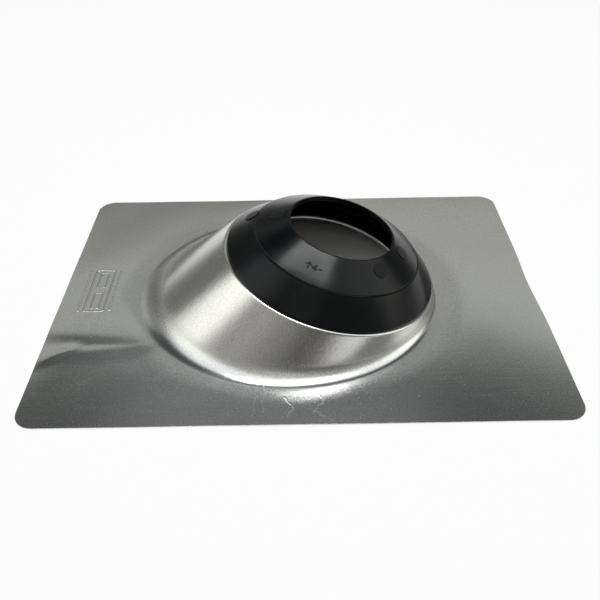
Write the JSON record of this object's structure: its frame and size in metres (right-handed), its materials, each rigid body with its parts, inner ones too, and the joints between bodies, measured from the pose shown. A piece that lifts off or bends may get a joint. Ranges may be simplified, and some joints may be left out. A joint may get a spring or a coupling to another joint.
{
  "type": "pipe flashing boot",
  "caption": "Roof flashing boot: flat aluminium flange with a leaning drawn cone and a rubber collar that seals round a vent pipe.",
  "frame": {"origin": "middle of the flange's underside, which lies on the roof deck", "axes": "+Z out of the roof deck, +X up the slope along the flange's long side, +Y across the slope"},
  "size_m": [0.4318, 0.3174, 0.0814],
  "materials": {
    "sheet": "mill finish rolled sheet, pressed",
    "collar_rubber": "moulded, semi-gloss"
  },
  "bodies": {
    "root": {"flashing_base": "sheet", "collar": "collar_rubber"}
  },
  "joints": []
}
